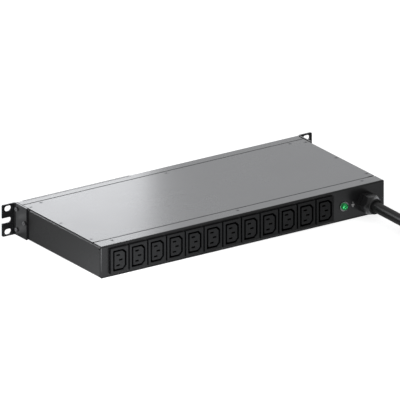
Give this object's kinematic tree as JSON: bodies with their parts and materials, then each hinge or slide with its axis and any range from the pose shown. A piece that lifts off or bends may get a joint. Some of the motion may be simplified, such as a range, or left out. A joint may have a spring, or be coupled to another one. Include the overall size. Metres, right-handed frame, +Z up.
{
  "type": "rack power distribution unit",
  "caption": "Flat rack-mounted power distribution unit with a row of appliance outlets, rack ears, an earthing screw and a supply cable through a gland",
  "frame": {"origin": "middle of the footprint of the unit without its supply cable, at the height of the rack ears' lower edges", "axes": "+X to the right seen from the outlet side, +Y from the outlets towards the rack's front, +Z up"},
  "size_m": [0.6315, 0.4299, 0.0546],
  "materials": {
    "painted_steel": "fine satin black powder coat",
    "black_plastic": "fine grained moulding",
    "black_screws": "black oxide",
    "zinc_steel": "bright zinc",
    "outlet_plastic": "satin moulded plastic",
    "brass": "stamped brass",
    "tinned_lug": "tinned",
    "pale_plastic": "natural moulding",
    "brown_insulation": "extruded insulation",
    "blue_insulation": "extruded insulation",
    "earth_insulation": "extruded insulation",
    "green_screw": "green coating",
    "gland_nylon": "black nylon",
    "black_rubber": "soft black rubber",
    "cable_jacket": "satin black jacket",
    "plug_grey": "moulded plastic",
    "plug_blue": "moulded plastic"
  },
  "bodies": {
    "root": {"base_tray": "painted_steel", "busbar_carrier": "pale_plastic", "cable_coil": "cable_jacket", "cable_tail": "cable_jacket", "coil_ties": "gland_nylon", "cover_screws_front": "black_screws", "cover_screws_left": "black_screws", "cover_screws_rear": "black_screws", "cover_screws_right": "black_screws", "ear_screws_left": "black_screws", "ear_screws_right": "black_screws", "earth_busbar": "brass", "earth_core": "earth_insulation", "earth_wire": "earth_insulation", "front_insert_panel": "black_plastic", "front_panel": "painted_steel", "front_panel_nuts": "zinc_steel", "front_panel_studs": "zinc_steel", "gland_body": "gland_nylon", "gland_locknut": "gland_nylon", "gland_nut": "gland_nylon", "gland_seal": "black_rubber", "ground_lug": "tinned_lug", "ground_nut": "zinc_steel", "ground_screw": "green_screw", "ground_washer": "zinc_steel", "ground_wire": "earth_insulation", "line_busbar": "brass", "line_core": "brown_insulation", "line_wire": "brown_insulation", "neutral_busbar": "brass", "neutral_core": "blue_insulation", "neutral_wire": "blue_insulation", "outlet_01": "outlet_plastic", "outlet_02": "outlet_plastic", "outlet_03": "outlet_plastic", "outlet_04": "outlet_plastic", "outlet_05": "outlet_plastic", "outlet_06": "outlet_plastic", "outlet_07": "outlet_plastic", "outlet_08": "outlet_plastic", "outlet_09": "outlet_plastic", "outlet_10": "outlet_plastic", "outlet_11": "outlet_plastic", "outlet_12": "outlet_plastic", "plug_body": "plug_grey", "plug_carrier": "plug_blue", "plug_clamp_nut": "plug_grey", "plug_pins": "brass", "plug_shroud": "plug_blue", "rack_ear_left": "painted_steel", "rack_ear_right": "painted_steel", "rear_panel": "painted_steel", "rear_panel_nuts": "zinc_steel", "rear_panel_studs": "zinc_steel", "supply_cable": "cable_jacket", "terminal_block": "pale_plastic", "terminal_block_screws": "zinc_steel", "terminal_clamp_screws": "zinc_steel", "top_cover": "painted_steel"}
  },
  "joints": []
}
